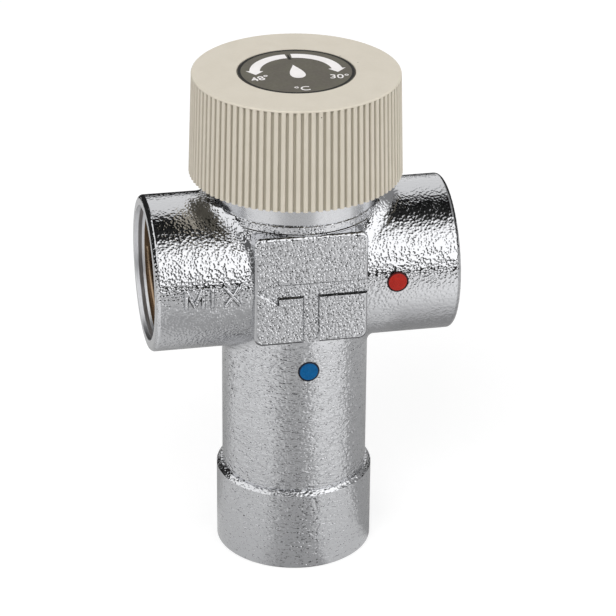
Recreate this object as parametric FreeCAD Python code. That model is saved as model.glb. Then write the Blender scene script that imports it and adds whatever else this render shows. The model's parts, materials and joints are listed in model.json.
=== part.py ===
"""Thermostatic mixing valve, 3/4 inch, with a ribbed setting knob.

Millimetres.  The origin is the centre of the lower (cold inlet) end face, +Z runs up the
spindle to the knob, +X runs from the mixed outlet to the hot inlet and the pad with the
recessed flow arrow faces -Y.
"""
import FreeCAD
import Part
import math
import os

V = FreeCAD.Vector
X_AXIS = V(1, 0, 0)
Y_AXIS = V(0, 1, 0)
Z_AXIS = V(0, 0, 1)

# ---- driving dimensions ---------------------------------------------------------------
THREAD_R = 13.22          # major radius of the G 3/4 port thread
THREAD_LEN = 15.0         # depth of thread in each port
PORT_WALL = 2.78          # wall between thread and outside of a side port
PORT_HALF = 31.2          # spindle axis to the end face of a side port
MOUTH_R = 13.7            # plated counterbore in front of each thread
MOUTH_DEPTH = 1.6
TUBE_R = 15.05            # outside of the lower tube
TUBE_BORE_R = 11.5
COLLAR_R = 16.25          # machined collar round the cold inlet
COLLAR_H = 18.0
COLLAR_BEVEL = 0.8
COLLAR_EDGE = 0.3
AXIS_Z = 63.45            # height of the side port axis
NECK_R = 16.7             # body neck and bonnet ring
NECK_RISE = 15.4          # port axis to the joint between body and bonnet
RING_H = 5.95             # height of the smooth bonnet ring
NECK_FILLET = 4.5
SPOT_R = 17.5             # flat spot turned on the body for the bonnet ring
JOINT_BEVEL = 0.25        # on both sides of that joint
FACING = 0.1              # casting left standing above the top of the side ports
TUBE_FILLET = 2.0
RIM_ROUND = 0.9           # rounding of the port rims
PAD_Y = 17.0              # pad faces, front and back
PAD_W = 23.2
PAD_LOW = 10.35           # pad below the port axis
PAD_HIGH = 13.35          # pad above the port axis
PAD_CORNER = 1.8
PAD_EDGE = 0.7
ARROW_RISE = 1.35         # arrow tip above the port axis
ARROW_HEAD = 3.05         # half height of the arrow head
ARROW_HEAD_LEN = 4.9
BAR_RISE = 1.45           # middle of the arrow's bar above the port axis
BAR_HALF = 1.62
STEM_HALF = 1.78
ARROW_DEPTH = 0.45
ARROW_DRAFT = 0.38        # lean of the recess walls over its depth
DOT_R = 2.05              # enamel dots
HOT_DOT_X = 17.9
HOT_DOT_RISE = 1.3
COLD_DOT_DROP = 17.8
KNOB_R_LOW = 21.64        # over the ribs, at the skirt
KNOB_R_HIGH = 21.0        # over the ribs, under the rim
KNOB_LAP = 0.7            # knob skirt over the bonnet ring
KNOB_H = 21.2
KNOB_RIBS = 90
RIB_DEPTH = 0.55
KNOB_RIM = 0.45           # smooth rim above the ribs
KNOB_WALL = 2.6
KNOB_PLATE = 2.9          # knob top under the badge
BADGE_R = 11.87
BADGE_THK = 1.2
STOP_HALF = 20.0          # half angle of the fixed stop lug, degrees
RIB_HALF = 9.0            # half angle of the knob's stop rib, degrees
NUT_TRAVEL = 0.9          # setting nut travel each way
SHUTTER_TRAVEL = 2.2      # shutter stroke, hot open to hot shut

# ---- clearances -----------------------------------------------------------------------
RUN = 0.05                # running fits, radial
SLIDE = 0.3               # loose guides, radial
END_GAP = 0.1             # end float between parts that meet on a flat face
TOUCH = 0.05              # gap at a stop or a seat
PAST = 1.0                # how far a cutting shape runs past the surface

# ---- cartridge and screw train --------------------------------------------------------
BOSS_R = 11.3             # bonnet boss inside the knob
BOSS_GAP = 4.2            # boss top to the underside of the knob plate
ROOF_RISE = 5.2           # bonnet ring top to the roof over the setting nut
SOCKET_R = 14.0           # bonnet skirt in the body
SOCKET_FLOOR_RISE = 7.55
CHAMBER_R = 13.0
LEDGE_DROP = 16.45        # port axis to the ledge that carries the spring basket
LEDGE_R = 9.6
LEDGE_H = 3.0
LINER_RISE = 1.55         # port axis to the step under the liner flange
LINER_R = 10.9
LINER_BORE = 8.45
LINER_FLANGE = 1.2
SLEEVE_WALL = 1.5
WINDOW_HALF = 4.0         # half width of the cartridge windows
PASSAGE_HALF = 7.0        # half width of the passages behind the side ports
MIXED_LOW = 9.5           # mixed passage below the port axis
MIXED_HIGH = 1.5
BASKET_FLANGE = 1.5
BASKET_R = 9.2
BASKET_LEG = 1.2
BASKET_DROP = 12.5
BASKET_FLOOR = 1.5
LIP_R = 7.5               # cold seat
LIP_RISE = 3.5
LIP_H = 2.0
DISC_H = 2.6
SHUTTER_R = 9.6
SPIDER_H = 2.5
HUB_R = 4.2
STUD_R = 2.4
COLD_PLATE = 2.1
CENTRING_R = 5.9
CENTRING_H = 1.0
ELEMENT_R = 5.5
ELEMENT_FLANGE = 1.4
ELEMENT_RIM = 0.9
ELEMENT_DROP = 7.5        # port axis to the foot of the wax element
GUIDE_R = 4.4
GUIDE_H = 3.6
HEX_GUIDE = 15.8          # across flats
NUT_PLAY = 0.2
NUT_H = 12.5
NUT_THREAD = 4.7
NUT_CHAMFER = 0.7
CAVITY_R = 6.3
CLIP_THK = 0.8
CLIP_DEEP = 0.5           # retaining rings in their grooves
CLIP_WIDE = 1.6
CUP_RISE = 1.2
CUP_FLANGE = 1.4
CUP_BOSS = 2.2
CUP_BOSS_R = 3.2
PIN_R = 2.0
PIN_SINK = 2.6
JOURNAL_R = 5.45
SPINDLE_THREAD_R = 4.9
THRUST_R = 6.9            # thrust collar of the spindle
THRUST_H = 1.6
SPLINE_R = 4.0
SPLINE_LEN = 4.0
SPLINE_TEETH = 18
SCREW_R = 1.6
SCREW_LEN = 9.0
HEAD_R = 3.1
HEAD_H = 1.6
SEAL_R = 0.8              # wire of the bonnet seal
LINER_SEAL_R = 0.58
SPINDLE_SEAL_R = 0.62
SPRING_R = 6.7
SPRING_WIRE = 1.2
SPRING_TURNS = 6
OVERLOAD_R = 4.9
OVERLOAD_WIRE = 1.0
OVERLOAD_TURNS = 3
SPRING_STEPS = 16         # facets round one turn of a spring
SPRING_SIDES = 8          # facets round its wire
EDGE = 0.4                # small bevels and roundings

# ---- worked out -----------------------------------------------------------------------
PORT_R = THREAD_R + PORT_WALL
PORT_INNER = PORT_HALF - THREAD_LEN
NECK_TOP = AXIS_Z + NECK_RISE
RING_TOP = NECK_TOP + RING_H
KNOB_LOW = RING_TOP - KNOB_LAP
KNOB_HIGH = KNOB_LOW + KNOB_H
PLATE_LOW = KNOB_HIGH - BADGE_THK - KNOB_PLATE
BOSS_TOP = PLATE_LOW - BOSS_GAP
ROOF_LOW = RING_TOP + ROOF_RISE
ROOF_H = BOSS_TOP - ROOF_LOW
LEDGE_TOP = AXIS_Z - LEDGE_DROP
LINER_STEP = AXIS_Z + LINER_RISE
HOT_SEAT = LINER_STEP + LINER_FLANGE
SOCKET_FLOOR = AXIS_Z + SOCKET_FLOOR_RISE
LIP_LOW = LEDGE_TOP + LIP_RISE
SHUTTER_LOW = HOT_SEAT + SHUTTER_TRAVEL
SHUTTER_TOP = SHUTTER_LOW + DISC_H
SPIDER_TOP = LIP_LOW + SPIDER_H
COLUMN_R = LIP_R - SLIDE
NUT_AF = HEX_GUIDE - NUT_PLAY
NUT_TOP = ROOF_LOW - THRUST_H - NUT_TRAVEL - SLIDE
NUT_LOW = NUT_TOP - NUT_H
CAVITY_TOP = NUT_TOP - NUT_THREAD
CUP_LOW = NUT_LOW + CUP_RISE
SEAL_Z = NECK_TOP - SEAL_R - 0.7
SPINDLE_SEALS = (ROOF_LOW + 0.315 * ROOF_H, ROOF_LOW + 0.715 * ROOF_H)
LINER_SEALS = (LIP_LOW + LINER_SEAL_R + 0.32, LINER_STEP - LINER_SEAL_R - 0.82)
HEAD_SEAT = PLATE_LOW + PAST


# ---- helpers --------------------------------------------------------------------------
def cyl(r, z0, z1, x=0.0, y=0.0):
    return Part.makeCylinder(r, z1 - z0, V(x, y, z0))


def tube(r_out, r_in, z0, z1):
    return cyl(r_out, z0, z1).cut(cyl(r_in, z0 - PAST, z1 + PAST))


def cyl_x(r, x0, x1):
    """Cylinder along the port axis."""
    return Part.makeCylinder(r, x1 - x0, V(x0, 0, AXIS_Z), X_AXIS)


def box(x0, x1, y0, y1, z0, z1):
    return Part.makeBox(x1 - x0, y1 - y0, z1 - z0, V(x0, y0, z0))


def hexagon(across_flats, z0, z1):
    r = across_flats / 2 / math.cos(math.pi / 6)
    pts = [V(r * math.cos(math.radians(60 * i)), r * math.sin(math.radians(60 * i)), z0)
           for i in range(7)]
    return Part.Face(Part.makePolygon(pts)).extrude(V(0, 0, z1 - z0))


def turned(points):
    """Solid of revolution about Z from (r, z) points of a closed outline."""
    wire = Part.makePolygon([V(r, 0, z) for r, z in points + points[:1]])
    return Part.Face(wire).revolve(V(0, 0, 0), Z_AXIS, 360)


def sector(r_out, r_in, z0, z1, mid_deg, half_deg):
    """Piece of a ring between two angles."""
    piece = Part.makeCylinder(r_out, z1 - z0, V(0, 0, z0), Z_AXIS, 2 * half_deg)
    piece.rotate(V(0, 0, 0), Z_AXIS, mid_deg - half_deg)
    return piece.cut(cyl(r_in, z0 - PAST, z1 + PAST))


def around(shape, count, first_deg=0.0):
    """Copies of a shape at equal angles about Z."""
    copies = []
    for i in range(count):
        piece = shape.copy()
        piece.rotate(V(0, 0, 0), Z_AXIS, first_deg + 360 * i / count)
        copies.append(piece)
    return copies


def ring_seal(r_mid, wire_r, z):
    return Part.makeTorus(r_mid, wire_r, V(0, 0, z))


def spring(r_mid, wire, z0, z1, turns):
    """Compression spring between two heights, its round wire drawn with flat facets."""
    steps = round(turns * SPRING_STEPS)
    rise = (z1 - z0 - wire) / steps
    rows = []
    for i in range(steps + 1):
        a = 2 * math.pi * i / SPRING_STEPS
        z = z0 + wire / 2 + i * rise
        row = []
        for k in range(SPRING_SIDES):
            b = 2 * math.pi * k / SPRING_SIDES
            r = r_mid + wire / 2 * math.cos(b)
            row.append(V(r * math.cos(a), r * math.sin(a), z + wire / 2 * math.sin(b)))
        rows.append(row)
    faces = [Part.Face(Part.makePolygon(end + end[:1])) for end in (rows[0], rows[-1])]
    for near, far in zip(rows, rows[1:]):
        for k in range(SPRING_SIDES):
            n = (k + 1) % SPRING_SIDES
            for corner in ((near[k], near[n], far[k]), (far[k], near[n], far[n])):
                faces.append(Part.Face(Part.makePolygon(corner + corner[:1])))
    solid = Part.Solid(Part.makeShell(faces))
    if solid.Volume < 0:
        solid.reverse()
    return solid


def snap_ring(r_out, z0, gap_deg):
    """Open retaining ring with its gap at +Y."""
    return sector(r_out, r_out - CLIP_WIDE, z0, z0 + CLIP_THK, 270, 180 - gap_deg / 2)


def save(name, shape):
    if len(shape.Solids) != 1 or not shape.isValid():
        raise ValueError(name + ": %d solids, valid %s" % (len(shape.Solids), shape.isValid()))
    shape.Solids[0].exportStep("parts/" + name + ".step")


# ---- valve body -----------------------------------------------------------------------
def crossing(r_upright, z0, z1, fillet):
    """Side ports crossed by an upright cylinder, with the meeting edges rounded."""
    shape = cyl_x(PORT_R, -PORT_HALF, PORT_HALF).fuse(cyl(r_upright, z0, z1))
    inside = PORT_HALF - PAST
    meet = [e for e in shape.Edges
            if max(e.BoundBox.XMax, -e.BoundBox.XMin) < inside and e.BoundBox.ZLength > PAST
            and e.Curve.TypeId != "Part::GeomLine"]
    return shape.makeFillet(fillet, meet)


def outer_casting():
    faced = AXIS_Z + PORT_R + FACING
    reach = 2 * PORT_HALF
    above = box(-reach, reach, -reach, reach, AXIS_Z, faced)
    below = box(-reach, reach, -reach, reach, -PAST, AXIS_Z)
    upper = crossing(NECK_R, AXIS_Z - reach, AXIS_Z + reach, NECK_FILLET).common(above)
    upper = upper.cut(cyl(SPOT_R, NECK_TOP, faced + PAST))
    seat = turned([(0, NECK_TOP - JOINT_BEVEL), (NECK_R, NECK_TOP - JOINT_BEVEL),
                   (NECK_R - JOINT_BEVEL, NECK_TOP), (0, NECK_TOP)])
    upper = upper.cut(cyl(NECK_R, NECK_TOP - JOINT_BEVEL, NECK_TOP)).fuse(seat)
    lower = crossing(TUBE_R, COLLAR_H, AXIS_Z + reach, TUBE_FILLET).common(below)
    collar = turned([(0, 0), (COLLAR_R - COLLAR_EDGE, 0), (COLLAR_R, COLLAR_EDGE),
                     (COLLAR_R, COLLAR_H - COLLAR_BEVEL),
                     (COLLAR_R - COLLAR_BEVEL, COLLAR_H), (0, COLLAR_H)])
    return upper.fuse([lower, collar])


def pad_block():
    """Block whose front and back faces are the two pads."""
    block = box(-PAD_W / 2, PAD_W / 2, -PAD_Y, PAD_Y, AXIS_Z - PAD_LOW, AXIS_Z + PAD_HIGH)
    block = block.makeFillet(PAD_CORNER, [e for e in block.Edges if e.BoundBox.YLength > PAST])
    rims = [e for e in block.Edges if e.BoundBox.YLength < 0.01]
    return block.makeFillet(PAD_EDGE, rims)


def inset(outline, amount):
    """Closed clockwise outline moved inwards by an amount, corner by corner."""
    moved = []
    for before, here, after in zip(outline[-1:] + outline[:-1], outline, outline[1:] + outline[:1]):
        near = math.atan2(here[1] - before[1], here[0] - before[0])
        far = math.atan2(after[1] - here[1], after[0] - here[0])
        middle = (near + far) / 2
        reach = amount / math.cos((far - near) / 2)
        moved.append((here[0] + reach * math.sin(middle), here[1] - reach * math.cos(middle)))
    return moved


def arrow_outline():
    """Bar with an arrow head towards the outlet and a stem from below, clockwise."""
    tip_x = -PAD_W / 2 + 0.2
    head_x = tip_x + ARROW_HEAD_LEN
    tip_z = AXIS_Z + ARROW_RISE
    bar_top = AXIS_Z + BAR_RISE + BAR_HALF
    bar_low = AXIS_Z + BAR_RISE - BAR_HALF
    run_out = PAD_W / 2 + 2 * PAST
    foot = AXIS_Z - PAD_LOW - 2 * PAST
    return [(tip_x, tip_z), (head_x, tip_z + ARROW_HEAD), (head_x, bar_top),
            (run_out, bar_top), (run_out, bar_low), (STEM_HALF, bar_low), (STEM_HALF, foot),
            (-STEM_HALF, foot), (-STEM_HALF, bar_low), (head_x, bar_low),
            (head_x, tip_z - ARROW_HEAD)]


def arrow_pocket():
    """Recess of the flow arrow, its walls leaning inwards."""
    spread = ARROW_DRAFT / ARROW_DEPTH
    levels = []
    for depth in (-PAST, ARROW_DEPTH):
        outline = inset(arrow_outline(), depth * spread)
        levels.append(Part.makePolygon([V(x, depth - PAD_Y, z) for x, z in outline + outline[:1]]))
    return Part.makeLoft(levels, True, True)


def port_bore(side):
    """Thread bore with its counterbore, in the side port on the given side."""
    x_mouth = PORT_HALF - MOUTH_DEPTH
    cone = MOUTH_R - THREAD_R
    bore = turned([(0, PORT_INNER), (THREAD_R, PORT_INNER), (THREAD_R, x_mouth - cone),
                   (MOUTH_R, x_mouth), (MOUTH_R, PORT_HALF + PAST), (0, PORT_HALF + PAST)])
    bore.rotate(V(0, 0, 0), V(0, 1, 0), 90 * side)
    bore.translate(V(0, 0, AXIS_Z))
    return bore


def passages():
    """Every bore and window inside the casting."""
    cone = MOUTH_R - THREAD_R
    taper = THREAD_R - TUBE_BORE_R
    stem = turned([(0, -PAST), (MOUTH_R, -PAST), (MOUTH_R, MOUTH_DEPTH),
                   (THREAD_R, MOUTH_DEPTH + cone), (THREAD_R, THREAD_LEN + PAST),
                   (TUBE_BORE_R, THREAD_LEN + PAST + taper), (TUBE_BORE_R, LEDGE_TOP - LEDGE_H),
                   (LEDGE_R, LEDGE_TOP - LEDGE_H), (LEDGE_R, LEDGE_TOP),
                   (LINER_R + RUN, LEDGE_TOP), (LINER_R + RUN, LINER_STEP),
                   (CHAMBER_R, LINER_STEP), (CHAMBER_R, SOCKET_FLOOR),
                   (SOCKET_R, SOCKET_FLOOR), (SOCKET_R, NECK_TOP + PAST), (0, NECK_TOP + PAST)])
    far = PORT_INNER + PAST
    hot = box(LINER_BORE, far, -PASSAGE_HALF, PASSAGE_HALF,
              HOT_SEAT + EDGE / 2, SOCKET_FLOOR - EDGE)
    mixed = box(-far, -LINER_BORE, -PASSAGE_HALF, PASSAGE_HALF,
                AXIS_Z - MIXED_LOW, AXIS_Z - MIXED_HIGH)
    return [stem, hot, mixed, port_bore(1), port_bore(-1)]


DOT_PLACES = {"hot_dot": V(HOT_DOT_X, -PORT_R, AXIS_Z + HOT_DOT_RISE),
              "cold_dot": V(0, -TUBE_R, AXIS_Z - COLD_DOT_DROP)}
DOT_SINK = 0.55
DOT_PROUD = 0.1


def body():
    shape = outer_casting().fuse(pad_block())
    rims = [e for e in shape.Edges
            if abs(abs(e.BoundBox.XMin) - PORT_HALF) < 0.01 and e.BoundBox.XLength < 0.01]
    shape = shape.makeFillet(RIM_ROUND, rims)
    for at in DOT_PLACES.values():
        start = at + V(0, DOT_SINK, 0)
        shape = shape.cut(Part.makeCylinder(DOT_R + TOUCH, DOT_SINK + PAST, start, -Y_AXIS))
    return shape.cut(passages() + [arrow_pocket()])


def dot(name):
    """Enamel dot in its shallow seat, with a slightly domed face."""
    at = DOT_PLACES[name]
    disc = Part.makeCylinder(DOT_R, DOT_SINK + DOT_PROUD, at + V(0, DOT_SINK, 0), -Y_AXIS)
    rim = [e for e in disc.Edges if abs(e.BoundBox.YMax - (at.y - DOT_PROUD)) < 0.01]
    return disc.makeFillet(EDGE / 2, rim)


# ---- bonnet and cartridge -------------------------------------------------------------
LUG_R = BOSS_R + 2.2              # stop ring
LUG_H = 3.0
KEY_HALF = 2.0                    # key between stop ring and bonnet


def bonnet():
    skirt_r = SOCKET_R - RUN
    sleeve_r = CHAMBER_R - END_GAP
    half_groove = SEAL_R + END_GAP
    groove_r = skirt_r - 2 * SEAL_R - TOUCH
    outside = turned([(0, HOT_SEAT), (sleeve_r, HOT_SEAT), (sleeve_r, SOCKET_FLOOR + TOUCH),
                      (skirt_r, SOCKET_FLOOR + TOUCH), (skirt_r, SEAL_Z - half_groove),
                      (groove_r, SEAL_Z - half_groove), (groove_r, SEAL_Z + half_groove),
                      (skirt_r, SEAL_Z + half_groove), (skirt_r, NECK_TOP),
                      (NECK_R - JOINT_BEVEL, NECK_TOP), (NECK_R, NECK_TOP + JOINT_BEVEL),
                      (NECK_R, RING_TOP - EDGE),
                      (NECK_R - EDGE, RING_TOP), (BOSS_R, RING_TOP),
                      (BOSS_R, BOSS_TOP - EDGE), (BOSS_R - EDGE, BOSS_TOP), (0, BOSS_TOP)])
    sleeve_bore = cyl(sleeve_r - SLEEVE_WALL, HOT_SEAT - PAST, SOCKET_FLOOR + EDGE)
    guide = hexagon(HEX_GUIDE, SOCKET_FLOOR, ROOF_LOW)
    spindle_bore = cyl(JOURNAL_R + RUN, ROOF_LOW - PAST, BOSS_TOP + PAST)
    low, high = HOT_SEAT + 2 * EDGE, SOCKET_FLOOR - 1.5 * EDGE
    windows = [box(-SOCKET_R, SOCKET_R, -WINDOW_HALF, WINDOW_HALF, low, high),
               box(-WINDOW_HALF, WINDOW_HALF, -SOCKET_R, SOCKET_R, low, high)]
    notch = box(-KEY_HALF, KEY_HALF, BOSS_R - PAST, LUG_R, RING_TOP - PAST, RING_TOP + PAST)
    return outside.cut([sleeve_bore, guide, spindle_bore, notch] + windows)


def stop_ring():
    """Ring with the lug that limits the knob, keyed into the bonnet by a tang."""
    low = RING_TOP + TOUCH
    bore_r = BOSS_R + TOUCH
    ring = tube(LUG_R, bore_r, low, low + LUG_H)
    lug = sector(KNOB_R_LOW - 1.6 * KNOB_WALL, bore_r + PAST, low, low + LUG_H, 90, STOP_HALF)
    half = KEY_HALF - END_GAP
    tang = box(-half, half, bore_r, LUG_R - END_GAP, RING_TOP - PAST + 3 * TOUCH, low + PAST)
    return ring.fuse([lug, tang.cut(cyl(bore_r, low - 2 * PAST, low + 2 * PAST))])


def seat_liner():
    """Sleeve with the hot seat on top, the cold seat below and outlet windows between."""
    low = LEDGE_TOP + BASKET_FLANGE
    flange_r = CHAMBER_R - NUT_PLAY
    outside = turned([(0, low), (LINER_R, low), (LINER_R, LINER_STEP + TOUCH),
                      (flange_r, LINER_STEP + TOUCH), (flange_r, HOT_SEAT - TOUCH),
                      (0, HOT_SEAT - TOUCH)])
    mouth_r = LEDGE_R - NUT_PLAY
    lip_top = LIP_LOW + LIP_H
    inside = turned([(0, low - PAST), (mouth_r, low - PAST), (mouth_r, LIP_LOW),
                     (LIP_R, LIP_LOW), (LIP_R, lip_top - EDGE), (LINER_BORE, lip_top + EDGE),
                     (LINER_BORE, HOT_SEAT + PAST), (0, HOT_SEAT + PAST)])
    half_groove = LINER_SEAL_R + END_GAP
    grooves = [tube(LINER_R + PAST, LINER_R - 2 * half_groove, z - half_groove, z + half_groove)
               for z in LINER_SEALS]
    low, high = AXIS_Z - MIXED_LOW, AXIS_Z - MIXED_HIGH - NUT_PLAY
    relief = tube(LINER_R + PAST, LINER_R - SPRING_WIRE, low - EDGE, high + EDGE)
    windows = [box(-CHAMBER_R, CHAMBER_R, -WINDOW_HALF, WINDOW_HALF, low, high),
               box(-WINDOW_HALF, WINDOW_HALF, -CHAMBER_R, CHAMBER_R, low, high)]
    return outside.cut([inside, relief] + grooves + windows)


def spring_basket():
    """Cage below the cold seat that carries the return spring."""
    floor = LEDGE_TOP - BASKET_DROP
    top = LEDGE_TOP + BASKET_FLANGE - TOUCH
    flange = tube(LINER_R, BASKET_R, LEDGE_TOP + TOUCH, top)
    dish = tube(BASKET_R, BASKET_R - SPRING_R + PAST, floor, floor + BASKET_FLOOR)
    leg = sector(BASKET_R + TOUCH, BASKET_R - BASKET_LEG, floor, top, 0, 18)
    return flange.fuse([dish] + around(leg, 4, 45))


def return_spring():
    low = LEDGE_TOP - BASKET_DROP + BASKET_FLOOR + TOUCH
    return spring(SPRING_R, SPRING_WIRE, low, LIP_LOW - COLD_PLATE - 2 * TOUCH, SPRING_TURNS)


# ---- shutter and wax element ----------------------------------------------------------
def shutter():
    """Hot disc on top, four columns and a spider that carries the cold disc."""
    disc = tube(SHUTTER_R, ELEMENT_R + END_GAP, SHUTTER_LOW, SHUTTER_TOP)
    disc = disc.cut(cyl(ELEMENT_R + ELEMENT_RIM + TOUCH, SHUTTER_TOP - ELEMENT_FLANGE,
                        SHUTTER_TOP + PAST))
    column = sector(COLUMN_R, ELEMENT_R + EDGE, LIP_LOW, SHUTTER_LOW + EDGE, 0, 13)
    hub = cyl(HUB_R, LIP_LOW, SPIDER_TOP)
    arm = box(HUB_R - PAST, COLUMN_R - EDGE, -HUB_R / 3, HUB_R / 3, LIP_LOW, SPIDER_TOP)
    whole = disc.fuse(around(column, 4, 45) + around(arm, 4, 45) + [hub])
    return whole.cut(cyl(STUD_R + TOUCH, LIP_LOW - PAST, SPIDER_TOP + PAST))


def cold_disc():
    """Lower valve plate, screwed into the spider."""
    top = LIP_LOW - TOUCH
    low = top - COLD_PLATE
    plate = cyl(LIP_R + EDGE, low, top)
    centring = cyl(CENTRING_R, low - CENTRING_H, low + END_GAP)
    return plate.fuse([centring, cyl(STUD_R, low + PAST, SPIDER_TOP)])


def wax_element():
    low = AXIS_Z - ELEMENT_DROP
    flange_low = SHUTTER_TOP - ELEMENT_FLANGE
    round_off = SPRING_WIRE
    rim_r = ELEMENT_R + ELEMENT_RIM
    guide_top = SHUTTER_TOP + GUIDE_H
    shape = turned([(0, low), (ELEMENT_R - round_off, low), (ELEMENT_R, low + round_off),
                    (ELEMENT_R, flange_low), (rim_r, flange_low), (rim_r, SHUTTER_TOP),
                    (GUIDE_R, SHUTTER_TOP), (GUIDE_R, guide_top - EDGE),
                    (GUIDE_R - EDGE, guide_top), (0, guide_top)])
    return shape.cut(cyl(PIN_R + RUN, SHUTTER_TOP - ELEMENT_DROP, guide_top + PAST))


# ---- setting screw train --------------------------------------------------------------
def setting_nut():
    """Hexagonal nut that slides in the bonnet and holds the overload spring."""
    corner_r = NUT_AF / 2 / math.cos(math.pi / 6)
    short_r = corner_r - NUT_CHAMFER
    nut = hexagon(NUT_AF, NUT_LOW, NUT_TOP).common(
        turned([(0, NUT_LOW), (short_r, NUT_LOW), (corner_r, NUT_LOW + NUT_CHAMFER),
                (corner_r, NUT_TOP - NUT_CHAMFER), (short_r, NUT_TOP), (0, NUT_TOP)]))
    thread = cyl(SPINDLE_THREAD_R + RUN, NUT_LOW - PAST, NUT_TOP + PAST)
    cavity = cyl(CAVITY_R, NUT_LOW - PAST, CAVITY_TOP)
    groove = cyl(CAVITY_R + CLIP_DEEP + END_GAP, CUP_LOW - CLIP_THK - END_GAP - TOUCH,
                 CUP_LOW - TOUCH)
    return nut.cut([thread, cavity, groove])


def nut_clip():
    return snap_ring(CAVITY_R + CLIP_DEEP, CUP_LOW - CLIP_THK - END_GAP, 30)


def pressure_cup():
    cup = cyl(CAVITY_R - SLIDE, CUP_LOW, CUP_LOW + CUP_FLANGE)
    boss = cyl(CUP_BOSS_R, CUP_LOW, CUP_LOW + CUP_FLANGE + CUP_BOSS)
    return cup.fuse(boss).cut(cyl(PIN_R + RUN / 2, CUP_LOW - PAST, CUP_LOW + PIN_SINK))


def push_pin():
    return cyl(PIN_R, SHUTTER_TOP - 0.6 * ELEMENT_DROP, CUP_LOW + PIN_SINK - TOUCH)


def overload_spring():
    return spring(OVERLOAD_R, OVERLOAD_WIRE, CUP_LOW + CUP_FLANGE + TOUCH, CAVITY_TOP - TOUCH,
                  OVERLOAD_TURNS)


def spindle():
    """Threaded spindle with a thrust collar, two seal grooves and a splined end."""
    thread_low = CAVITY_TOP + NUT_TRAVEL + END_GAP
    stub_top = BOSS_TOP + SPLINE_LEN
    thrust_low = ROOF_LOW - THRUST_H
    half_groove = SPINDLE_SEAL_R + 0.13
    groove_r = JOURNAL_R - 2 * SPINDLE_SEAL_R - END_GAP
    clip_r = JOURNAL_R - CLIP_DEEP - END_GAP
    clip_top = BOSS_TOP + CLIP_THK + END_GAP
    shoulder = clip_top + 0.3
    outline = [(0, thread_low), (SPINDLE_THREAD_R - EDGE, thread_low),
               (SPINDLE_THREAD_R, thread_low + EDGE), (SPINDLE_THREAD_R, thrust_low),
               (THRUST_R, thrust_low), (THRUST_R, ROOF_LOW - TOUCH), (JOURNAL_R, ROOF_LOW - TOUCH)]
    for z in SPINDLE_SEALS:
        outline += [(JOURNAL_R, z - half_groove), (groove_r, z - half_groove),
                    (groove_r, z + half_groove), (JOURNAL_R, z + half_groove)]
    outline += [(JOURNAL_R, BOSS_TOP + TOUCH), (clip_r, BOSS_TOP + TOUCH), (clip_r, clip_top),
                (JOURNAL_R, clip_top), (JOURNAL_R, shoulder), (SPLINE_R, shoulder + TOUCH),
                (SPLINE_R, stub_top - EDGE), (SPLINE_R - EDGE, stub_top), (0, stub_top)]
    shape = turned(outline).cut(cyl(SCREW_R + TOUCH, ROOF_LOW, stub_top + PAST))
    tooth = cyl(EDGE, shoulder + END_GAP, stub_top + PAST, SPLINE_R + END_GAP)
    return shape.cut(around(tooth, SPLINE_TEETH))


def spindle_clip():
    """Retaining ring over the bonnet boss, in the spindle's upper groove."""
    return snap_ring(JOURNAL_R - CLIP_DEEP + CLIP_WIDE, BOSS_TOP + TOUCH + RUN / 2, 60)


# ---- knob -----------------------------------------------------------------------------
HUB_GAP = 1.4                     # knob hub above the bonnet boss


def ribbed_wire(r, z):
    """Closed outline of the ribs at one height."""
    pitch = 2 * math.pi / KNOB_RIBS
    floor_r = r - RIB_DEPTH
    rib = ((-0.27, r - RIB_DEPTH / 8), (-0.12, r), (0.12, r), (0.27, r - RIB_DEPTH / 8),
           (0.38, floor_r), (0.62, floor_r))
    pts = [V(radius * math.cos((i + part) * pitch), radius * math.sin((i + part) * pitch), z)
           for i in range(KNOB_RIBS) for part, radius in rib]
    return Part.makePolygon(pts + pts[:1])


def knob():
    rim_low = KNOB_HIGH - KNOB_RIM
    ribs = Part.makeLoft([ribbed_wire(KNOB_R_LOW, KNOB_LOW), ribbed_wire(KNOB_R_HIGH, rim_low)],
                         True, True)
    rim = cyl(KNOB_R_HIGH, rim_low, KNOB_HIGH)
    rim = rim.makeFillet(0.75 * KNOB_RIM, [e for e in rim.Edges
                                           if e.BoundBox.ZMin > KNOB_HIGH - END_GAP])
    hollow_r = KNOB_R_HIGH - KNOB_WALL
    hollow = turned([(0, KNOB_LOW - PAST), (KNOB_R_LOW - KNOB_WALL, KNOB_LOW - PAST),
                     (hollow_r, PLATE_LOW), (0, PLATE_LOW)])
    hub_low = BOSS_TOP + HUB_GAP
    joined = PLATE_LOW + EDGE
    hub_r = THRUST_R + EDGE
    hub = cyl(hub_r, hub_low, joined)
    stop = sector(hollow_r + EDGE, LUG_R + EDGE, RING_TOP + EDGE, joined, 270, RIB_HALF)
    web = box(hub_r - PAST, hollow_r + EDGE, -BADGE_THK / 2, BADGE_THK / 2, hub_low, joined)
    holes = [cyl(SPLINE_R + TOUCH, hub_low - PAST, BOSS_TOP + SPLINE_LEN + TOUCH),
             cyl(SCREW_R + NUT_PLAY, hub_low, KNOB_HIGH),
             cyl(HEAD_R + SLIDE, HEAD_SEAT, KNOB_HIGH),
             cyl(BADGE_R + TOUCH, KNOB_HIGH - BADGE_THK, KNOB_HIGH + PAST)]
    return ribs.fuse(rim).cut(hollow).fuse([hub, stop] + around(web, 6)).cut(holes)


def knob_cap():
    """Dial badge that closes the recess over the knob screw."""
    disc = cyl(BADGE_R, KNOB_HIGH - BADGE_THK + TOUCH, KNOB_HIGH - TOUCH)
    return disc.makeFillet(EDGE / 2, [e for e in disc.Edges
                                      if e.BoundBox.ZMin > KNOB_HIGH - END_GAP])


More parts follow.
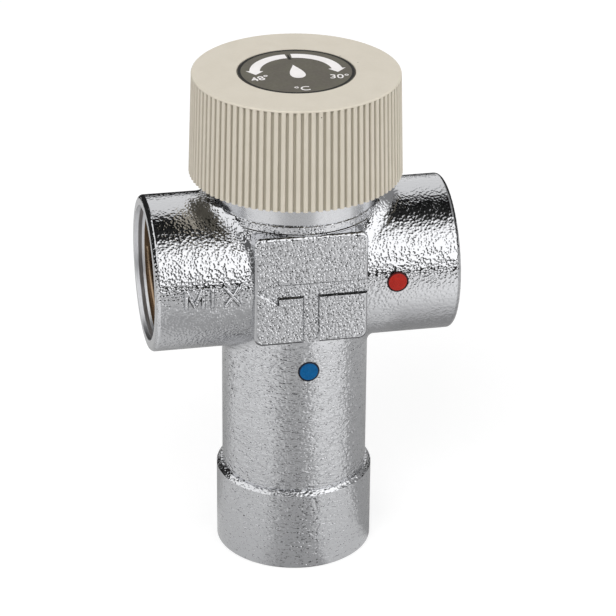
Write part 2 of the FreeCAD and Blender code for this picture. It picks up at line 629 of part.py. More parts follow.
def knob_screw():
    low = HEAD_SEAT + TOUCH
    head = cyl(HEAD_R, low, low + HEAD_H)
    shank = cyl(SCREW_R, low - SCREW_LEN, low + EDGE)
    slot = box(-HEAD_R - PAST, HEAD_R + PAST, -EDGE, EDGE, low + HEAD_H / 2, low + HEAD_H + PAST)
    return head.fuse(shank).cut(slot)


# ---- write the pieces -----------------------------------------------------------------
def main():
    os.makedirs("parts", exist_ok=True)
    for piece in (body, bonnet, stop_ring, seat_liner, spring_basket, return_spring, shutter,
                  cold_disc, wax_element, setting_nut, nut_clip, pressure_cup, push_pin,
                  overload_spring, spindle, spindle_clip, knob, knob_cap, knob_screw):
        save(piece.__name__, piece())
    for name in DOT_PLACES:
        save(name, dot(name))
    liner_r = LINER_R - LINER_SEAL_R - RUN / 2
    spindle_r = JOURNAL_R - SPINDLE_SEAL_R - RUN / 2
    seals = {"bonnet_o_ring": (SOCKET_R - RUN - SEAL_R, SEAL_R, SEAL_Z),
             "liner_o_ring_lower": (liner_r, LINER_SEAL_R, LINER_SEALS[0]),
             "liner_o_ring_upper": (liner_r, LINER_SEAL_R, LINER_SEALS[1]),
             "spindle_o_ring_lower": (spindle_r, SPINDLE_SEAL_R, SPINDLE_SEALS[0]),
             "spindle_o_ring_upper": (spindle_r, SPINDLE_SEAL_R, SPINDLE_SEALS[1])}
    for name, (r_mid, wire_r, z) in seals.items():
        save(name, ring_seal(r_mid, wire_r, z))


main()
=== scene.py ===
"""Looks of the thermostatic mixing valve: materials, threads, letters, dial print, light, camera."""

import json
import math

import bmesh
import bpy
from mathutils import Matrix, Vector


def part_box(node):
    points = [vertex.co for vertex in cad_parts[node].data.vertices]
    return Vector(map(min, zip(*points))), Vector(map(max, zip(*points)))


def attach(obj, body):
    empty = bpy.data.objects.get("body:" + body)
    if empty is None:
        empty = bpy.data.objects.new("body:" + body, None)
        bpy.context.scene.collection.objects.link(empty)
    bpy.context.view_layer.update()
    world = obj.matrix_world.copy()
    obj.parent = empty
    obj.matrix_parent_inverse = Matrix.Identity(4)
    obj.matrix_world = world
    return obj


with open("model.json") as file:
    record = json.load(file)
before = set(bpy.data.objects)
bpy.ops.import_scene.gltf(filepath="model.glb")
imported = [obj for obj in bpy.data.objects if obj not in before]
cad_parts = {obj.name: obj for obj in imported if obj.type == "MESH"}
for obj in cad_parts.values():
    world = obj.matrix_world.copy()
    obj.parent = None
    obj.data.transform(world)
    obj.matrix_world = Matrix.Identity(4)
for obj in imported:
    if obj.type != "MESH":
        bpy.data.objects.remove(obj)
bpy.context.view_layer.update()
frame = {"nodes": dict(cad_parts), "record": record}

MM = 0.001
NODES = frame["nodes"]
MOUNTS = {m["name"]: m for m in frame["record"]["mounts"]}
AXIS_Z = MOUNTS["hot_inlet"]["pos_m"][2]        # height of the side port axis
PORT_R = 16.0 * MM                              # outside of the side ports
NECK_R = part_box("bonnet")[1].x
DIAL_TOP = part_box("knob_cap")[1].z
DIAL_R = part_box("knob_cap")[1].x
PITCH = 1.814 * MM                              # pipe thread, 14 turns to the inch
THREAD_DEPTH = 1.16 * MM

# Places that the materials tell apart, in the millimetres of Graph.xyz
AXIS_MM = AXIS_Z / MM
PAD_SKIN = -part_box("body")[0].y / MM - 1.0      # nearer the front than this is only the pad
BORE_R = 13.5                                   # bare brass inside this radius of a bore
MOUTH_EDGE = (13.75, 13.95)                     # plated mouth inside, casting outside
END_FACE = (31.0, 31.15)                        # machined end faces of the side ports
FOOT_FACE = (0.1, 0.5)                          # machined lower face of the collar
RIM_START, RIM_END = 30.3, 31.35                # rounding of the port rims
HEAD_START, HEAD_END = 49.0, 54.0               # the tube's finish turns into the head's


# ---- node helpers ---------------------------------------------------------------------
class Graph:
    """Short way to build a material's nodes."""

    def __init__(self, name):
        self.material = bpy.data.materials.new(name)
        self.material.use_nodes = True
        self.tree = self.material.node_tree
        self.shader = self.tree.nodes["Principled BSDF"]
        self.coord = self.add("ShaderNodeTexCoord").outputs["Object"]

    def add(self, kind, **settings):
        node = self.tree.nodes.new(kind)
        for key, value in settings.items():
            setattr(node, key, value)
        return node

    def link(self, source, target):
        self.tree.links.new(source, target)

    def feed(self, node, index, value):
        if isinstance(value, bpy.types.NodeSocket):
            self.link(value, node.inputs[index])
        else:
            node.inputs[index].default_value = (*value, 1) if isinstance(value, tuple) else value

    def math(self, operation, a, b=0.0, clamp=False):
        node = self.add("ShaderNodeMath", operation=operation, use_clamp=clamp)
        self.feed(node, 0, a)
        self.feed(node, 1, b)
        return node.outputs[0]

    def times(self, first, *others):
        """Product of two or more values."""
        for other in others:
            first = self.math("MULTIPLY", first, other)
        return first

    def xyz(self):
        """The three coordinates in millimetres."""
        node = self.add("ShaderNodeSeparateXYZ")
        self.link(self.scaled((1, 1, 1)), node.inputs[0])
        return node.outputs

    def scaled(self, factors):
        """Object coordinates in millimetres, stretched by the factors."""
        node = self.add("ShaderNodeVectorMath", operation="MULTIPLY")
        self.link(self.coord, node.inputs[0])
        node.inputs[1].default_value = [f * 1000 for f in factors]
        return node.outputs[0]

    def noise(self, scale, detail=2.0, rough=0.5, factors=(1, 1, 1)):
        node = self.add("ShaderNodeTexNoise")
        self.link(self.scaled(factors), node.inputs["Vector"])
        node.inputs["Scale"].default_value = scale
        node.inputs["Detail"].default_value = detail
        node.inputs["Roughness"].default_value = rough
        return node.outputs["Fac"]

    def cells(self, scale):
        """Distance from scattered points, in cells."""
        node = self.add("ShaderNodeTexVoronoi")
        self.link(self.scaled((1, 1, 1)), node.inputs["Vector"])
        node.inputs["Scale"].default_value = scale
        return node.outputs["Distance"]

    def range(self, value, low, high, to_low=0.0, to_high=1.0):
        node = self.add("ShaderNodeMapRange", interpolation_type="SMOOTHSTEP")
        self.feed(node, 0, value)
        for index, number in enumerate((low, high, to_low, to_high), 1):
            node.inputs[index].default_value = number
        return node.outputs[0]

    def mix(self, factor, a, b):
        node = self.add("ShaderNodeMix", data_type="RGBA")
        self.feed(node, 0, factor)
        for index, colour in ((6, a), (7, b)):
            if isinstance(colour, tuple):
                node.inputs[index].default_value = (*colour, 1)
            else:
                self.link(colour, node.inputs[index])
        return node.outputs[2]

    def bump(self, height, distance, normal=None, strength=1.0):
        node = self.add("ShaderNodeBump")
        node.inputs["Distance"].default_value = distance
        self.feed(node, "Strength", strength)
        self.link(height, node.inputs["Height"])
        if normal is not None:
            self.link(normal, node.inputs["Normal"])
        return node.outputs["Normal"]

    def set(self, **values):
        """Shader inputs by name, spaces written as underscores."""
        for key, value in values.items():
            self.feed(self.shader, key.replace("_", " "), value)
        return self.material

    def radius(self, a, b):
        """Distance from an axis, from the two coordinates across it."""
        return self.math("SQRT", self.math("ADD", self.times(a, a), self.times(b, b)))

    def direction(self):
        """The coordinate's parts as they are, in metres on a mesh."""
        node = self.add("ShaderNodeSeparateXYZ")
        self.link(self.coord, node.inputs[0])
        return node.outputs

    def azimuth(self, x, y):
        """Angle round the valve in degrees, 0 in front and 90 on the right."""
        return self.times(self.math("ARCTAN2", x, self.times(y, -1.0)), 180 / math.pi)

    def window(self, value, low, high, soft):
        """1 between two values, falling to 0 over the soft width outside them."""
        return self.times(self.range(value, low - soft, low), self.range(value, high, high + soft, 1.0, 0.0))

    def facing(self):
        """The parts of the surface's own direction, without bump."""
        node = self.add("ShaderNodeSeparateXYZ")
        self.link(self.add("ShaderNodeNewGeometry").outputs["True Normal"], node.inputs[0])
        return node.outputs


# ---- materials ------------------------------------------------------------------------
CHROME = (0.585, 0.59, 0.605)
BRASS = (0.35, 0.25, 0.165)
DARK_BRASS = (0.30, 0.215, 0.14)


def port_radius(g, y, z):
    """Distance from the axis of the side ports."""
    return g.radius(y, g.math("SUBTRACT", z, AXIS_MM))


def bore_mask(g, x, y, z):
    """1 on the bare brass inside the ports and passages, 0 on the plated outside."""
    port_depth, collar_depth = 29.15, 1.75
    in_port = g.times(g.math("LESS_THAN", port_radius(g, y, z), BORE_R),
                      g.math("LESS_THAN", g.math("ABSOLUTE", x), port_depth))
    in_stem = g.times(g.math("LESS_THAN", g.radius(x, y), BORE_R), g.math("GREATER_THAN", z, collar_depth))
    return g.math("MAXIMUM", in_port, in_stem)


def dot_gap_shade(g, x, y, z, node, inset):
    """1 on the thin line of painted shade round an enamel dot, in the gap of its pocket, from its edge less
    the inset.
    """
    low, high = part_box(node)
    centre, r = (low + high) / 2 / MM, (high.x - low.x) / 2 / MM
    line = 0.12
    reach = g.radius(g.math("SUBTRACT", x, centre.x), g.math("SUBTRACT", z, centre.z))
    return g.times(g.window(reach, r - inset, r + line, line), g.math("LESS_THAN", y, 0.0))


def enamel(name, colour, dark, node):
    """Glossy paint in a round pocket, with painted shade at its edge, in the gap of the pocket."""
    g = Graph(name)
    x, y, z = g.xyz()
    base = g.mix(g.range(g.noise(0.8, 2.0), 0.3, 0.7), dark, colour)
    # Painted shade: a dark line round the dot, in the gap of its pocket.
    edge = g.times(dot_gap_shade(g, x, y, z, node, 0.14), 0.85)
    return g.set(Base_Color=g.mix(edge, base, (0.01, 0.008, 0.01)), Specular_IOR_Level=0.2,
                 Normal=g.bump(g.noise(1.2, 2.0), 0.05 * MM),
                 Roughness=g.range(g.noise(1.5, 2.0), 0.3, 0.7, 0.22, 0.34))


def arrow_walls(g, y, z, facing):
    """1 on the walls of the recessed arrow in the front pad."""
    above_arrow = AXIS_MM + 9.0
    return g.times(g.math("LESS_THAN", y, -PAD_SKIN), g.math("GREATER_THAN", facing["Y"], -0.97),
                   g.math("LESS_THAN", z, above_arrow))


def casting_relief(g, x, cast, head, flat, walls, facing):
    """Bumps of the plated casting, from the coarse ones on the head to the rounded port rims."""
    steep = g.range(facing["Z"], 0.68, 0.84, 1.0, 0.6)
    amount = g.times(head, cast, g.math("SUBTRACT", 1.0, g.times(walls, 0.7)), steep)
    patchy = g.times(amount, g.range(g.noise(0.3, 1.0), 0.3, 0.7, 0.6, 1.0))
    dimpled = g.times(patchy, g.math("ADD", 1.0, g.times(flat, 2.0)))
    normal = g.bump(g.noise(1.2, 1.0, 0.5), 0.07 * MM, strength=amount)
    normal = g.bump(g.range(g.cells(1.6), 0.15, 0.72), 0.072 * MM, normal, dimpled)
    tube = g.times(g.math("SUBTRACT", 1.0, head), cast)
    ripples = g.noise(1.0, 2.0, 0.6, (0.5, 0.5, 1.5))
    normal = g.bump(ripples, 0.34 * MM, normal, tube)
    normal = g.bump(g.range(g.cells(1.3), 0.1, 0.6), 0.05 * MM, normal, tube)
    dents = g.range(g.noise(0.8, 0.0), 0.16, 0.27)
    normal = g.bump(dents, 0.08 * MM, normal, tube)
    rounding = g.range(g.math("ABSOLUTE", x), RIM_START, RIM_END, 1.0, 0.0)
    return g.bump(rounding, 0.62 * MM, normal)


def casting_colour(g, x, y, z, cast, flat, walls, facing):
    """Chrome, brass in the bores, and painted shade: on the arrow's walls, in dark spots on the pad, under
    the right port and round the enamel dots.
    """
    machined = g.noise(2.2, 3.0, 0.6, (1.0, 0.3, 0.3))
    tint = g.mix(g.range(machined, 0.3, 0.7), BRASS, DARK_BRASS)
    colour = g.mix(bore_mask(g, x, y, z), CHROME, tint)
    # Painted shade on the walls of the recessed arrow: darkest where they face down, lighter where upright,
    # none where they face up.
    downward_wall_shade = g.range(facing["Z"], -0.35, -0.15, 0.85, 0.35)
    not_upward = g.range(facing["Z"], 0.2, 0.4, 1.0, 0.0)
    colour = g.mix(g.times(downward_wall_shade, not_upward, walls), colour, (0.04, 0.04, 0.04))
    # Painted shade: scattered dark spots on the flat front pad.
    pad_spot_shade = g.times(g.range(g.cells(1.4), 0.12, 0.36, 0.85, 0.0), flat)
    colour = g.mix(pad_spot_shade, colour, (0.06, 0.06, 0.06))
    # Painted shade under the right port, on the casting where it faces down.
    underside_shade = g.times(g.range(x, 15.0, 20.0), g.range(facing["Z"], -0.5, -0.1, 0.28, 0.0), cast)
    colour = g.mix(underside_shade, colour, (0.08, 0.08, 0.08))
    # Painted shade: a dark line round each enamel dot, in the gap of its pocket.
    for node in ("hot_dot", "cold_dot"):
        colour = g.mix(dot_gap_shade(g, x, y, z, node, 0.0), colour, (0.02, 0.015, 0.015))
    return colour


def plated_casting():
    """Chrome over a blasted casting: dimpled orange peel on the head, fine ripples on the tube."""
    g = Graph("plated_casting")
    x, y, z = g.xyz()
    facing = g.facing()
    port_r = port_radius(g, y, z)
    cast = g.times(g.range(port_r, *MOUTH_EDGE), g.range(g.math("ABSOLUTE", x), *END_FACE, 1.0, 0.0),
                   g.range(z, *FOOT_FACE))
    head = g.range(z, HEAD_START, HEAD_END)
    walls = arrow_walls(g, y, z, facing)
    flat = g.times(g.math("LESS_THAN", y, -PAD_SKIN), g.math("LESS_THAN", facing["Y"], -0.99))
    polish = g.range(g.noise(1.4, 3.0), 0.3, 0.7, 0.04, 0.11)
    mouth = g.range(port_r, *MOUTH_EDGE, 0.3, 0.0)
    return g.set(Base_Color=casting_colour(g, x, y, z, cast, flat, walls, facing), Metallic=1.0,
                 Normal=casting_relief(g, x, cast, head, flat, walls, facing),
                 Roughness=g.math("ADD", polish, mouth))


def plated_smooth():
    """Turned and polished chrome of the bonnet ring, with faint lathe lines."""
    g = Graph("plated_smooth")
    lathe = g.noise(4.0, 3.0, 0.5, (0.05, 0.05, 3.0))
    normal = g.bump(lathe, 0.004 * MM)
    return g.set(Base_Color=CHROME, Metallic=1.0, Normal=normal,
                 Roughness=g.range(g.noise(1.2), 0.3, 0.7, 0.20, 0.28))


def metal(name, colour, dark, roughness, factors=(0.3, 0.3, 3.0)):
    """Plain worked metal with drawn or turned lines."""
    g = Graph(name)
    lines = g.noise(4.0, 4.0, 0.6, factors)
    stain = g.noise(0.5, 3.0)
    return g.set(Base_Color=g.mix(g.range(stain, 0.3, 0.7), dark, colour), Metallic=1.0,
                 Normal=g.bump(lines, 0.01 * MM),
                 Roughness=g.range(lines, 0.3, 0.7, roughness - 0.06, roughness + 0.08))


def plastic(name, colour, dark, roughness, grain=0.006, specular=0.5):
    """Moulded plastic with fine grain and slight mottling."""
    g = Graph(name)
    base = g.mix(g.range(g.noise(0.25, 3.0), 0.3, 0.7), dark, colour)
    return g.set(Base_Color=base, Normal=g.bump(g.noise(3.0, 3.0, 0.6), grain * MM),
                 Specular_IOR_Level=specular,
                 Roughness=g.range(g.noise(1.5, 2.0), 0.3, 0.7, roughness - 0.05, roughness + 0.05))


def knob_plastic(colour, dark, groove_shade):
    """Moulded ribbed plastic: painted shade down in the grooves, with a few tiny dark specks."""
    g = Graph("knob_plastic")
    x, y, z = g.xyz()
    base = g.mix(g.range(g.noise(0.25, 3.0), 0.3, 0.7), dark, colour)
    low, high = (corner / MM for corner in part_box("knob"))
    draft, rim = 0.64, 0.45
    narrowing = g.times(g.math("SUBTRACT", z, low.z), draft / (high.z - low.z))
    depth = g.math("SUBTRACT", g.math("SUBTRACT", high.x, narrowing), g.radius(x, y))
    sides = g.math("LESS_THAN", z, high.z - rim)
    # Painted shade down in the grooves between the ribs.
    base = g.mix(g.times(g.range(depth, 0.12, 0.5), sides), base, groove_shade)
    base = g.mix(g.range(g.cells(0.24), 0.025, 0.045), (0.09, 0.075, 0.05), base)
    return g.set(Base_Color=base, Normal=g.bump(g.noise(3.0, 3.0, 0.6), 0.006 * MM),
                 Specular_IOR_Level=0.3,
                 Roughness=g.range(g.noise(1.5, 2.0), 0.3, 0.7, 0.45, 0.55))


def build_materials():
    return {
        "body": plated_casting(),
        "bonnet": plated_smooth(),
        "brass": metal("turned_brass", BRASS, (0.32, 0.23, 0.15), 0.3),
        "steel": metal("drawn_steel", (0.55, 0.55, 0.54), (0.42, 0.42, 0.41), 0.28),
        "cartridge": plastic("cartridge_plastic", (0.03, 0.03, 0.03), (0.02, 0.02, 0.02), 0.4),
        "copper": metal("element_cup", (0.62, 0.36, 0.2), (0.5, 0.27, 0.14), 0.25),
        "rubber": plastic("seal_rubber", (0.02, 0.02, 0.02), (0.012, 0.012, 0.012), 0.6),
        "knob": knob_plastic((0.63, 0.58, 0.49), (0.61, 0.56, 0.47), (0.42, 0.385, 0.31)),
        "dial": plastic("dial_face", (0.115, 0.108, 0.082), (0.105, 0.095, 0.077), 0.5, 0.002, 0.1),
        "print": plastic("dial_print", (0.86, 0.83, 0.82), (0.80, 0.77, 0.76), 0.45, 0.001),
        "ink": plastic("dial_ink", (0.008, 0.007, 0.006), (0.01, 0.009, 0.007), 0.5, 0.001, 0.1),
        "red": enamel("red_enamel", (0.40, 0.018, 0.01), (0.34, 0.015, 0.009), "hot_dot"),
        "blue": enamel("blue_enamel", (0.0, 0.10, 0.28), (0.0, 0.085, 0.24), "cold_dot"),
    }


NODE_MATERIALS = {
    "body": ["body"],
    "bonnet": ["bonnet"],
    "brass": ["stop_ring", "spindle", "setting_nut", "pressure_cup"],
    "steel": ["return_spring", "overload_spring", "nut_clip", "spindle_clip", "push_pin",
              "spring_basket", "knob_screw"],
    "cartridge": ["seat_liner", "shutter", "cold_disc"],
    "copper": ["wax_element"],
    "rubber": ["bonnet_o_ring", "liner_o_ring_lower", "liner_o_ring_upper",
               "spindle_o_ring_lower", "spindle_o_ring_upper"],
    "knob": ["knob"],
    "dial": ["knob_cap"],
    "red": ["hot_dot"],
    "blue": ["cold_dot"],
}


def dress_nodes(materials):
    for key, names in NODE_MATERIALS.items():
        for name in names:
            data = NODES[name].data
            data.materials.clear()
            data.materials.append(materials[key])


# ---- meshes ---------------------------------------------------------------------------
def make_piece(name, points, faces, material, body, smooth=False):
    mesh = bpy.data.meshes.new(name)
    mesh.from_pydata([tuple(p) for p in points], [], faces)
    bm = bmesh.new()
    bm.from_mesh(mesh)
    bmesh.ops.recalc_face_normals(bm, faces=bm.faces)
    bm.to_mesh(mesh)
    bm.free()
    for face in mesh.polygons:
        face.use_smooth = smooth
    mesh.materials.append(material)
    piece = bpy.data.objects.new(name, mesh)
    bpy.context.scene.collection.objects.link(piece)
    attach(piece, body)
    return piece


def thread(name, mount, material):
    """Helical ridge of a female pipe thread, from the mount's wall inwards."""
    axis = Vector(mount["axis"])
    start = Vector(mount["pos_m"])
    length = mount["dims"]["length_mm"] * MM
    outer = mount["dims"]["r_mm"] * MM + 0.02 * MM
    inner = outer - THREAD_DEPTH
    side = Vector((0, 1, 0))
    other = axis.cross(side)
    steps = 64
    turns = (length - PITCH) / PITCH
    profile = [(-0.48 * PITCH, outer), (-0.07 * PITCH, inner), (0.07 * PITCH, inner),
               (0.48 * PITCH, outer)]
    points, faces = [], []
    rows = int(turns * steps)
    for i in range(rows + 1):
        a = 2 * math.pi * i / steps
        out = side * math.cos(a) + other * math.sin(a)
        fade = min(1.0, i / 24, (rows - i) / 24)
        centre = start - axis * (PITCH * 0.55 + PITCH * i / steps)
        for along, r in profile:
            points.append(centre - axis * along + out * (outer + (r - outer) * fade))
    count = len(profile)
    for i in range(rows):
        for k in range(count):
            n = (k + 1) % count
            faces.append((i * count + k, i * count + n, (i + 1) * count + n, (i + 1) * count + k))
    return make_piece(name, points, faces, material, "valve", smooth=True)


LETTER_HALF = 0.62 * MM                         # half width of a stroke
LETTER_PROUD = 0.72 * MM                        # height of its ridge over the port
LETTER_STROKES = {
    "M": [[(0.0, 0.0), (0.0, 1.0), (0.5, 0.12), (1.0, 1.0), (1.0, 0.0)]],
    "I": [[(0.0, 0.0), (0.0, 1.0)]],
    "X": [[(0.0, 0.0), (1.0, 1.0)], [(0.0, 1.0), (1.0, 0.0)]],
}


def letter_ridge(name, strokes, x, low, width, height, material):
    """Cast letter: each stroke a rounded ridge that follows the port's round front."""
    half, proud = LETTER_HALF, LETTER_PROUD
    sunk = -0.35
    section = [(-1.0, sunk), (-0.62, 0.55), (-0.25, 0.95), (0.25, 0.95), (0.62, 0.55), (1.0, sunk)]
    points, faces = [], []
    for path in strokes:
        for (x0, z0), (x1, z1) in zip(path, path[1:]):
            a = Vector((x + x0 * width, low + z0 * height))
            b = Vector((x + x1 * width, low + z1 * height))
            along = (b - a).normalized()
            across = Vector((-along.y, along.x))
            steps = 12
            first = len(points)
            for i in range(steps + 1):
                at = (a - along * half * 0.7).lerp(b + along * half * 0.7, i / steps)
                end = 0.0 if i in (0, steps) else 1.0
                for s, h in section:
                    spot = at + across * s * half * (0.6 + 0.4 * end)
                    r = PORT_R + proud * (h if end else sunk)
                    angle = (spot.y - AXIS_Z) / PORT_R
                    points.append(Vector((spot.x, -r * math.cos(angle), AXIS_Z + r * math.sin(angle))))
            n = len(section)
            for i in range(steps):
                for k in range(n):
                    m = (k + 1) % n
                    faces.append((first + i * n + k, first + i * n + m,
                                  first + (i + 1) * n + m, first + (i + 1) * n + k))
    return make_piece(name, points, faces, material, "valve", smooth=True)


def mix_letters(material):
    """The word for mixed water on the front of the outlet port."""
    low = AXIS_Z - 1.0 * MM
    height = 4.0 * MM
    plan = (("M", -25.2, 3.4), ("I", -19.9, 0.0), ("X", -17.3, 3.0))
    for letter, x, width in plan:
        letter_ridge("letter_" + letter, LETTER_STROKES[letter], x * MM, low, width * MM, height,
                     material)


INK_DEPTH = 0.02 * MM                           # the print's height, above and below the dial


def dial_plate(name, outline, material):
    """Thin printed shape on the dial from a flat outline of (x, y) points."""
    count = len(outline)
    points = [(x, y, DIAL_TOP + h) for h in (-INK_DEPTH, INK_DEPTH) for x, y in outline]
    faces = [tuple(range(count, 2 * count)), tuple(reversed(range(count)))]
    faces += [(i, (i + 1) % count, count + (i + 1) % count, count + i) for i in range(count)]
    return make_piece(name, points, faces, material, "knob_group")


def arc_arrow(name, start_deg, end_deg, material):
    """Curved arrow round the dial from a start angle to its head."""
    inner, outer = 7.25 * MM, 9.35 * MM
    barb = 1.75 * MM
    head_deg = 14
    mid = (inner + outer) / 2
    neck = end_deg - head_deg * (1 if end_deg > start_deg else -1)
    steps = 24
    angles = [math.radians(start_deg + (neck - start_deg) * i / steps) for i in range(steps + 1)]

    def at(r, a):
        return (r * math.cos(a), r * math.sin(a))

    tip = math.radians(end_deg)
    outline = [at(outer, a) for a in angles]
    outline += [at(mid + barb, angles[-1]), at(mid, tip), at(mid - barb, angles[-1])]
    outline += [at(inner, a) for a in reversed(angles)]
    return dial_plate(name, outline, material)


def dial_text(name, words, x, y, turn_deg, size, material):
    """Generic dial lettering as thin solid text."""
    curve = bpy.data.curves.new(name, "FONT")
    curve.body = words
    curve.size = size
    curve.align_x = "CENTER"
    curve.align_y = "CENTER"
    curve.extrude = INK_DEPTH
    curve.offset = 0.02 * MM
    maker = bpy.data.objects.new(name + "_maker", curve)
    bpy.context.scene.collection.objects.link(maker)
    bpy.context.view_layer.update()
    mesh = bpy.data.meshes.new_from_object(maker.evaluated_get(bpy.context.evaluated_depsgraph_get()))
    bpy.data.objects.remove(maker)
    place = Matrix.Translation((x, y, DIAL_TOP)) @ Matrix.Rotation(math.radians(turn_deg), 4, "Z")
    mesh.transform(place)
    mesh.materials.clear()
    mesh.materials.append(material)
    piece = bpy.data.objects.new(name, mesh)
    bpy.context.scene.collection.objects.link(piece)
    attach(piece, "knob_group")
    return piece


def turned_ring(name, profile, material, body, steps=96):
    """Closed ring round the valve's axis from a four-point (radius, height) profile."""
    points, faces = [], []
    for r, z in profile:
        for i in range(steps):
            a = 2 * math.pi * i / steps
            points.append((r * math.cos(a), r * math.sin(a), z))
    for k in range(4):
        n = (k + 1) % 4
        for i in range(steps):
            j = (i + 1) % steps
            faces.append((k * steps + i, k * steps + j, n * steps + j, n * steps + i))
    return make_piece(name, points, faces, material, body)


def dial_shade_ring(material):
    """Near-black ring of painted shade at the edge of the dial, in the gap where it sits in the knob."""
    inner, outer = DIAL_R - 0.75 * MM, DIAL_R - 0.2 * MM
    low, high = DIAL_TOP - INK_DEPTH, DIAL_TOP + 0.6 * INK_DEPTH
    return turned_ring("dial_gap_shade", [(inner, low), (inner, high), (outer, high), (outer, low)], material,
                       "knob_group")


def neck_step(material):
    """Small cast step round the neck, between the pads and the bonnet ring."""
    rise = [(-0.4, 13.3), (0.22, 13.4), (0.22, 13.6), (-0.4, 14.0)]
    return turned_ring("neck_step", [(NECK_R + r * MM, AXIS_Z + z * MM) for r, z in rise], material,
                       "valve", 192)


def droplet(name, size, material):
    """Plain water drop, round below and pointed above."""
    outline = []
    for i in range(48):
        a = 2 * math.pi * i / 48
        narrow = math.sin(a / 2) ** 1.6
        outline.append((size * 0.62 * math.sin(a) * narrow, size * math.cos(a)))
    return dial_plate(name, outline, material)


def dial_print(materials):
    arc_arrow("arrow_hotter", 93.5, 184, materials["print"])
    arc_arrow("arrow_colder", 86.0, -13, materials["print"])
    dial_plate("dial_tick", [(-0.32 * MM, 6.4 * MM), (0.32 * MM, 6.4 * MM), (0.1 * MM, 8.9 * MM),
                             (-0.1 * MM, 8.9 * MM)], materials["ink"])
    figures = (("figure_hot", "48°", -7.7, -2.6, 14), ("figure_cold", "30°", 7.9, -4.3, -8),
               ("figure_unit", "°C", -0.6, -9.3, 0))
    for name, words, x, y, turn_deg in figures:
        dial_text(name, words, x * MM, y * MM, turn_deg, 2.9 * MM, materials["print"])
    droplet("water_drop", 3.6 * MM, materials["print"])


# ---- stage ----------------------------------------------------------------------------
class WorldGraph(Graph):
    """The same helpers on the world's nodes, with the view direction as coordinate."""

    def __init__(self, name):
        self.world = bpy.data.worlds.new(name)
        bpy.context.scene.world = self.world
        self.world.use_nodes = True
        self.tree = self.world.node_tree
        self.shader = self.tree.nodes["Background"]
        self.coord = self.add("ShaderNodeTexCoord").outputs["Generated"]


def studio_world():
    """Soft studio: pale walls, two brighter boxes in front with a gap between, dark ceiling."""
    w = WorldGraph("studio")
    x, y, z = w.direction()
    azimuth = w.azimuth(x, y)
    elevation = w.times(w.math("ARCSINE", z), 180 / math.pi)
    left_wall = w.range(azimuth, -142, -128, 0.14, 0.88)
    right_wall = w.range(azimuth, 84, 100, 0.0, -0.56)
    back_wall = w.math("ADD", w.range(azimuth, -172, -158, 0.84, 0.0), w.range(azimuth, 142, 156, 0.0, 0.66))
    walls = w.math("ADD", w.math("ADD", left_wall, right_wall), back_wall)
    left_box = w.times(w.window(azimuth, -125, -48, 8), 0.45)
    right_box = w.times(w.window(azimuth, 6, 76, 8), 0.82)
    boxes = w.times(w.window(elevation, 4, 50, 7), w.math("ADD", left_box, right_box))
    gap = w.times(w.window(azimuth, -40, 0, 6), w.window(elevation, 0, 38, 8), 0.82)
    ceiling = w.range(elevation, 58, 68, 1.0, 0.03)
    level = w.times(w.math("ADD", walls, boxes), w.math("SUBTRACT", 1.0, gap), ceiling)
    shown = w.add("ShaderNodeMix")
    w.feed(shown, 0, w.add("ShaderNodeLightPath").outputs["Is Camera Ray"])
    w.feed(shown, 2, level)
    w.feed(shown, 3, 1.0)
    w.link(shown.outputs[0], w.shader.inputs["Strength"])
    w.shader.inputs["Color"].default_value = (1, 1, 1, 1)


def stage_mesh(name, points, faces, material):
    mesh = bpy.data.meshes.new(name)
    mesh.from_pydata(points, [], faces)
    mesh.materials.append(material)
    piece = bpy.data.objects.new(name, mesh)
    bpy.context.scene.collection.objects.link(piece)
    return piece


def floor():
    """Pale matt table, white to the camera; reflections see painted light on it: two soft pools, and painted
    shade close to the object.
    """
    size = 3.0
    g = Graph("floor_paper")
    x, y, _ = g.direction()
    azimuth, reach = g.azimuth(x, y), g.radius(x, y)
    # Painted light, seen only in reflections: two soft pools of light on the floor, dimmer close to the
    # object.
    left_pool = g.times(g.window(azimuth, -110, -48, 30), 0.40)
    right_pool = g.times(g.window(azimuth, 20, 66, 9), 0.50)
    painted_pools = g.times(g.math("MAXIMUM", left_pool, right_pool), g.range(reach, 0.03, 0.08, 0.6, 1.0))
    # Painted shade, seen only in reflections: the floor's glow is lower close to the object.
    painted_glow = g.math("ADD", painted_pools, g.range(reach, 0.05, 0.14, 0.05, 0.22))
    paths = g.add("ShaderNodeLightPath").outputs
    mirrored = g.math("MAXIMUM", paths["Is Glossy Ray"], paths["Is Transmission Ray"])
    seen = g.math("ADD", g.times(paths["Is Camera Ray"], 0.65), g.times(mirrored, painted_glow))
    g.set(Base_Color=(0.40, 0.40, 0.40), Roughness=0.8, Emission_Color=(1.0, 1.0, 1.0),
          Emission_Strength=seen)
    stage_mesh("floor", [(-size, -size, 0), (size, -size, 0), (size, size, 0), (-size, size, 0)],
               [(0, 1, 2, 3)], g.material)


def dark_rim():
    """Low dark wall far round the object, seen only in reflections, as the room past a table."""
    steps = 48
    points, faces = [], []
    for i in range(steps):
        a = 2 * math.pi * i / steps
        panel = max(0.0, math.cos(a - math.radians(125))) ** 6    # nearer and taller behind, on the left
        far = (0.44 - 0.14 * math.sin(a)) * (1.0 - 0.45 * panel)
        top = AXIS_Z + (far - 0.28) * 0.15
        if math.sin(a) > 0.3:                                     # straight across behind the valve
            far, top = min(far, 0.2 / math.sin(a)), 0.083
        x, y = far * math.cos(a), far * math.sin(a)
        points += [(x, y, 0.0), (x, y, top + 0.10 * panel)]
        j = (i + 1) % steps
        faces.append((2 * i, 2 * j, 2 * j + 1, 2 * i + 1))
    g = Graph("dark_rim")
    g.set(Base_Color=(0.01, 0.01, 0.01), Roughness=0.9)
    piece = stage_mesh("dark_rim", points, faces, g.material)
    piece.visible_camera = False
    piece.visible_diffuse = False
    piece.visible_shadow = False


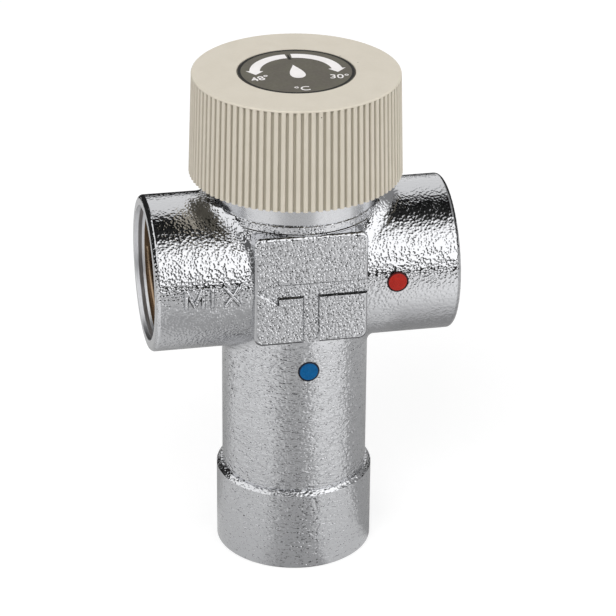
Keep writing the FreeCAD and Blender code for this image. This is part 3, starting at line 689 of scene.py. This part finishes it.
def lamp(name, azimuth, elevation, distance, size, power):
    """Soft square lamp aimed at the valve, left out of mirror reflections."""
    data = bpy.data.lights.new(name, "AREA")
    data.size = size
    data.energy = power
    a, e = math.radians(azimuth), math.radians(elevation)
    out = Vector((math.sin(a) * math.cos(e), -math.cos(a) * math.cos(e), math.sin(e)))
    piece = bpy.data.objects.new(name, data)
    piece.location = Vector((0, 0, AXIS_Z)) + out * distance
    piece.rotation_euler = (-out).to_track_quat("-Z", "Y").to_euler()
    piece.visible_glossy = False
    bpy.context.scene.collection.objects.link(piece)


def camera():
    """Long lens from the left front, a quarter above the ports."""
    azimuth, elevation = math.radians(11.43), math.radians(25.31)
    distance = 0.62445
    aim_azimuth, aim_elevation = azimuth + 0.00487, elevation + 0.01531
    roll = 0.00892

    def back(a, e):
        return Vector((-math.sin(a) * math.cos(e), -math.cos(a) * math.cos(e), math.sin(e)))

    data = bpy.data.cameras.new("camera")
    data.sensor_width = 36.0
    data.lens = 178.1
    data.clip_start, data.clip_end = 0.02, 20
    piece = bpy.data.objects.new("camera", data)
    bpy.context.scene.collection.objects.link(piece)
    view = -back(aim_azimuth, aim_elevation)
    right = view.cross(Vector((0, 0, 1))).normalized()
    up = right.cross(view)
    tilted_right = right * math.cos(roll) + up * math.sin(roll)
    tilted_up = up * math.cos(roll) - right * math.sin(roll)
    turn = Matrix((tilted_right, tilted_up, -view)).transposed().to_4x4()
    place = Vector((0, 0, AXIS_Z)) + back(azimuth, elevation) * distance
    piece.matrix_world = Matrix.Translation(place) @ turn
    bpy.context.scene.camera = piece


# ---- make everything ------------------------------------------------------------------
def main():
    camera()
    studio_world()
    floor()
    dark_rim()
    lamp("key_lamp", -28, 44, 1.2, 0.6, 6.3)
    lamp("side_lamp", 105, 5, 1.2, 0.6, 5.0)
    materials = build_materials()
    dress_nodes(materials)
    for name in ("hot_inlet", "mixed_outlet", "cold_inlet"):
        thread("thread_" + name, MOUNTS[name], materials["brass"])
    neck_step(materials["body"])
    mix_letters(materials["body"])
    dial_shade_ring(materials["ink"])
    dial_print(materials)
    bpy.context.scene.view_settings.view_transform = "Standard"


main()
